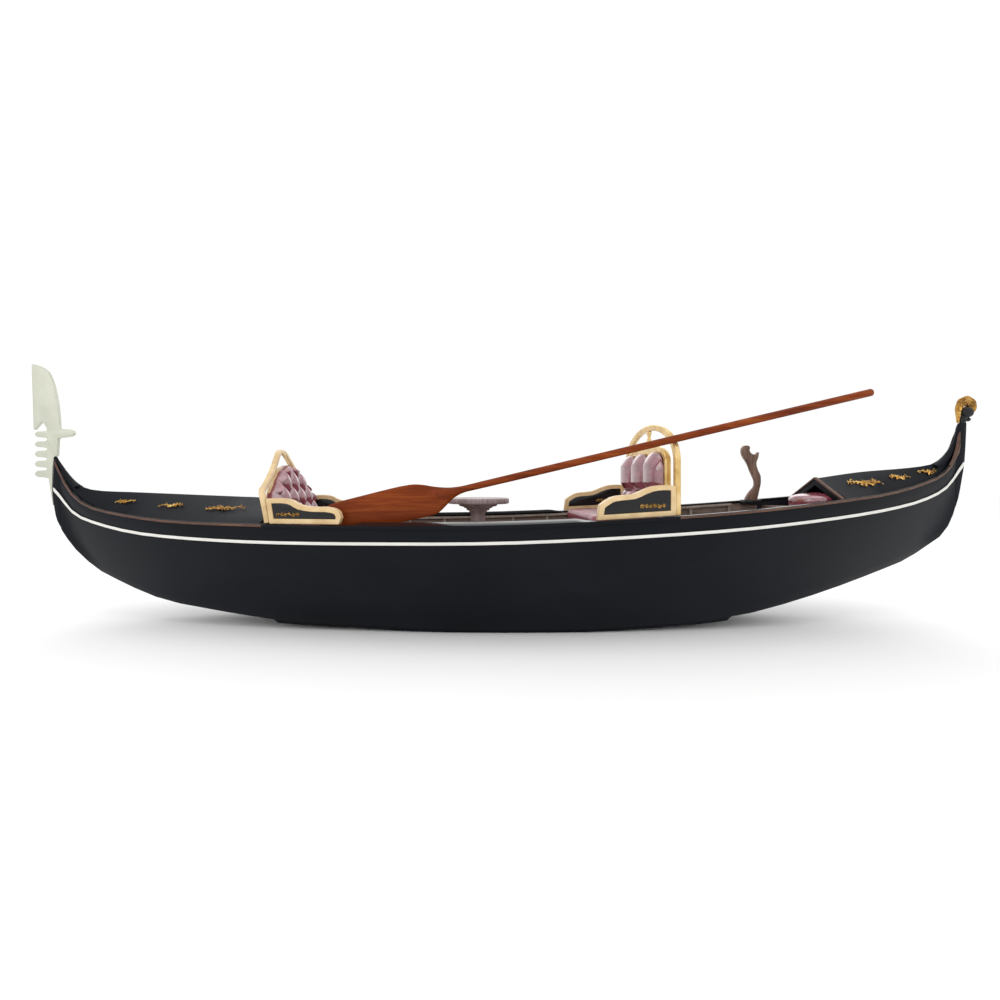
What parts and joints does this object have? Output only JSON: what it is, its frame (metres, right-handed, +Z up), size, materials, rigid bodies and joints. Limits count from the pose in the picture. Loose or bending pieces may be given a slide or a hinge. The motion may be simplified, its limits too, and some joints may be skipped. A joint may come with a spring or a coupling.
{
  "type": "gondola display model",
  "caption": "Black gondola display model with a toothed bow iron, carved gilt seats, tufted leather, a round table, a rowlock and a leaning oar.",
  "frame": {"origin": "under the middle of the model, on the surface that the keel board stands on", "axes": "+X from bow to stern, +Z up, port side at -Y"},
  "size_m": [1.5232, 0.2546, 0.4106],
  "materials": {
    "hull_black": "satin black lacquer over timber, slightly blue",
    "gloss_black": "gloss black lacquer over timber",
    "white_stripe": "matt off-white painted strip",
    "brown_trim": "satin stained brown strip",
    "stained_planking": "dull brown stained planking",
    "table_wood": "dusty brown satin wood",
    "walnut": "satin oiled walnut",
    "mahogany": "satin varnished red-brown wood",
    "gilt_wood": "satin pale gold paint on wood",
    "gold": "bright cast gilt",
    "steel_ferro": "satin cast light metal, warm grey",
    "burgundy_leather": "glossy burgundy leatherette"
  },
  "bodies": {
    "hull": {"aft_deck": "hull_black", "aft_gable_board": "hull_black", "aft_pad": "burgundy_leather", "aft_platform": "stained_planking", "bow_spray_1_port": "gold", "bow_spray_1_starboard": "gold", "bow_spray_2_port": "gold", "bow_spray_2_starboard": "gold", "bow_spray_3_port": "gold", "bow_spray_3_starboard": "gold", "cap_rail_port": "gloss_black", "cap_rail_starboard": "gloss_black", "cockpit_floor": "stained_planking", "ferro": "steel_ferro", "forcola_block": "gloss_black", "fore_bulkhead": "stained_planking", "fore_deck": "hull_black", "hull_bottom": "hull_black", "hull_side_port": "hull_black", "hull_side_starboard": "hull_black", "keel_board": "hull_black", "moulding_port": "brown_trim", "moulding_starboard": "brown_trim", "ribs_port": "stained_planking", "ribs_starboard": "stained_planking", "stem_post": "hull_black", "stern_leaf": "gold", "stern_post": "hull_black", "stern_spray_1_port": "gold", "stern_spray_1_starboard": "gold", "stern_spray_2_port": "gold", "stern_spray_2_starboard": "gold", "stern_spray_3_port": "gold", "stern_spray_3_starboard": "gold", "stern_volute": "gloss_black", "stripe_port": "white_stripe", "stripe_starboard": "white_stripe", "thwart": "gloss_black"},
    "bow_chair": {"bow_chair_arm_panel_port": "gloss_black", "bow_chair_arm_panel_starboard": "gloss_black", "bow_chair_arm_port": "gilt_wood", "bow_chair_arm_starboard": "gilt_wood", "bow_chair_back_cushion": "burgundy_leather", "bow_chair_back_frame": "gilt_wood", "bow_chair_back_panel": "gilt_wood", "bow_chair_seat_base": "stained_planking", "bow_chair_seat_cushion": "burgundy_leather"},
    "forcola": {"forcola": "walnut"},
    "oar": {"oar": "mahogany"},
    "sofa": {"sofa_arm_panel_port": "gloss_black", "sofa_arm_panel_starboard": "gloss_black", "sofa_arm_port": "gilt_wood", "sofa_arm_starboard": "gilt_wood", "sofa_back_cushion": "burgundy_leather", "sofa_back_frame": "gilt_wood", "sofa_back_panel": "gilt_wood", "sofa_seat_base": "stained_planking", "sofa_seat_cushion": "burgundy_leather"},
    "table": {"table_column": "table_wood", "table_top": "table_wood"}
  },
  "joints": [
    {"name": "bow_chair_lift", "type": "slide", "parent": "hull", "child": "bow_chair", "axis": [0, 0, 1], "range_m": [0, 0.12]},
    {"name": "sofa_lift", "type": "slide", "parent": "hull", "child": "sofa", "axis": [0, 0, 1], "range_m": [0, 0.12]},
    {"name": "table_lift", "type": "slide", "parent": "hull", "child": "table", "axis": [0, 0, 1], "range_m": [0, 0.12]},
    {"name": "forcola_lift", "type": "slide", "parent": "hull", "child": "forcola", "axis": [0, 0, 1], "range_m": [0, 0.06]},
    {"name": "oar_lift", "type": "slide", "parent": "sofa", "child": "oar", "axis": [0, 0, 1], "range_m": [0, 0.15]}
  ]
}
